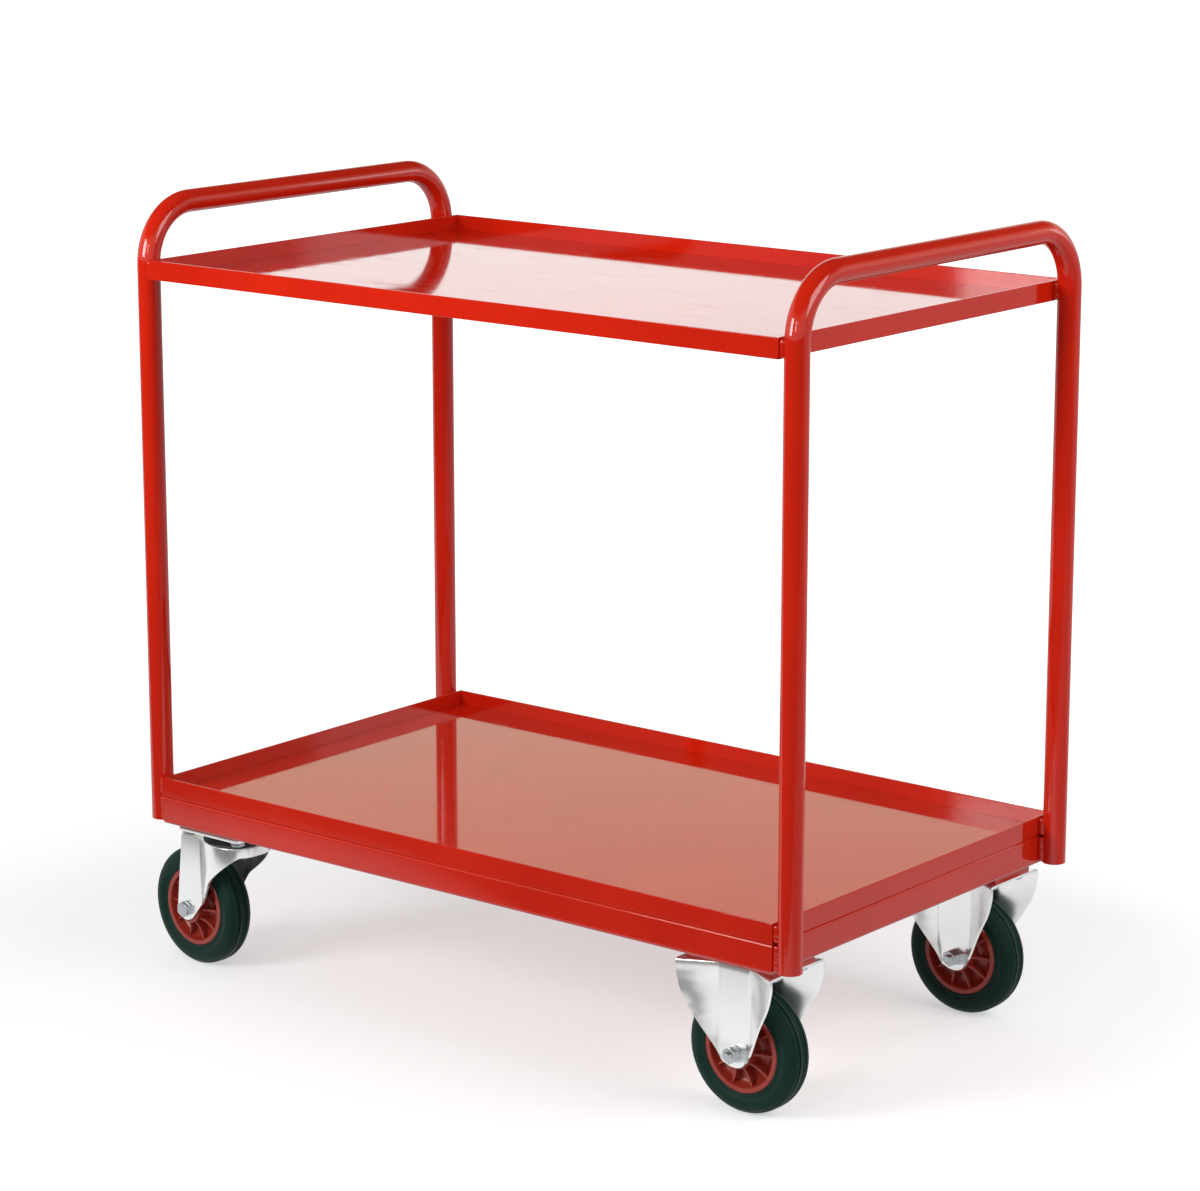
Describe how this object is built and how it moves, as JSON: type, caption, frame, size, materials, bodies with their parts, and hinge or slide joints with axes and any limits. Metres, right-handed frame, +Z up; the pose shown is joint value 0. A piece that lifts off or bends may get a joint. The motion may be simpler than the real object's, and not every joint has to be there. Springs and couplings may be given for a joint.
{
  "type": "tray trolley",
  "caption": "Tiered tray trolley: shallow lipped trays carried between bent tube end hoops that serve as push handles, on fixed castors at one end and swivel castors at the other.",
  "frame": {"origin": "on the floor under the middle of the whole footprint, swivel wheels trailing out to the left", "axes": "+X along the trays towards the fixed castors, +Y across the trays to the rear, +Z up"},
  "size_m": [1.0988, 0.6, 1.035],
  "materials": {
    "red_paint": "gloss",
    "zinc": "bright zinc",
    "bearing_steel": "ground",
    "tyre": "matte",
    "red_plastic": "satin",
    "black_plastic": "matte",
    "black_rubber": "matte"
  },
  "bodies": {
    "frame": {"hoop_left": "red_paint", "hoop_right": "red_paint", "tube_plugs": "black_plastic", "top_lip_front": "red_paint", "top_lip_rear": "red_paint", "top_lip_left": "red_paint", "top_lip_right": "red_paint", "top_deck": "red_paint", "lower_lip_front": "red_paint", "lower_lip_rear": "red_paint", "lower_lip_left": "red_paint", "lower_lip_right": "red_paint", "lower_deck": "red_paint", "chassis_front": "red_paint", "chassis_rear": "red_paint", "chassis_left": "red_paint", "chassis_right": "red_paint", "packing_plates": "red_paint", "castor_bolts": "zinc", "fixed_bracket_front": "zinc", "swivel_plate_front": "zinc", "dust_seal_front": "black_rubber", "swivel_balls_front": "bearing_steel", "king_pin_front": "zinc", "bearing_cap_front": "zinc", "axle_bolt_right_front": "zinc", "axle_nut_right_front": "zinc", "axle_sleeve_right_front": "bearing_steel", "fixed_bracket_rear": "zinc", "swivel_plate_rear": "zinc", "dust_seal_rear": "black_rubber", "swivel_balls_rear": "bearing_steel", "king_pin_rear": "zinc", "bearing_cap_rear": "zinc", "axle_bolt_right_rear": "zinc", "axle_nut_right_rear": "zinc", "axle_sleeve_right_rear": "bearing_steel"},
    "swivel_front": {"fork_front": "zinc", "axle_bolt_left_front": "zinc", "axle_nut_left_front": "zinc", "axle_sleeve_left_front": "bearing_steel"},
    "wheel_left_front": {"tyre_left_front": "tyre", "wheel_centre_left_front": "red_plastic", "roller_cage_left_front": "bearing_steel"},
    "wheel_right_front": {"tyre_right_front": "tyre", "wheel_centre_right_front": "red_plastic", "roller_cage_right_front": "bearing_steel"},
    "swivel_rear": {"fork_rear": "zinc", "axle_bolt_left_rear": "zinc", "axle_nut_left_rear": "zinc", "axle_sleeve_left_rear": "bearing_steel"},
    "wheel_left_rear": {"tyre_left_rear": "tyre", "wheel_centre_left_rear": "red_plastic", "roller_cage_left_rear": "bearing_steel"},
    "wheel_right_rear": {"tyre_right_rear": "tyre", "wheel_centre_right_rear": "red_plastic", "roller_cage_right_rear": "bearing_steel"}
  },
  "joints": [
    {"name": "swivel_front_turn", "type": "hinge", "parent": "frame", "child": "swivel_front", "pos_m": [-0.41085, -0.245, 0.18], "axis": [0, 0, 1], "continuous": true},
    {"name": "wheel_left_front_spin", "type": "hinge", "parent": "swivel_front", "child": "wheel_left_front", "pos_m": [-0.4692, -0.24082, 0.08], "axis": [0.0715, 0.9974, 0], "continuous": true},
    {"name": "wheel_right_front_spin", "type": "hinge", "parent": "frame", "child": "wheel_right_front", "pos_m": [0.43915, -0.234, 0.08], "axis": [0, 1, 0], "continuous": true},
    {"name": "swivel_rear_turn", "type": "hinge", "parent": "frame", "child": "swivel_rear", "pos_m": [-0.41085, 0.245, 0.18], "axis": [0, 0, 1], "continuous": true},
    {"name": "wheel_left_rear_spin", "type": "hinge", "parent": "swivel_rear", "child": "wheel_left_rear", "pos_m": [-0.46935, 0.245, 0.08], "axis": [0, 1, 0], "continuous": true},
    {"name": "wheel_right_rear_spin", "type": "hinge", "parent": "frame", "child": "wheel_right_rear", "pos_m": [0.43915, 0.234, 0.08], "axis": [0, 1, 0], "continuous": true}
  ]
}
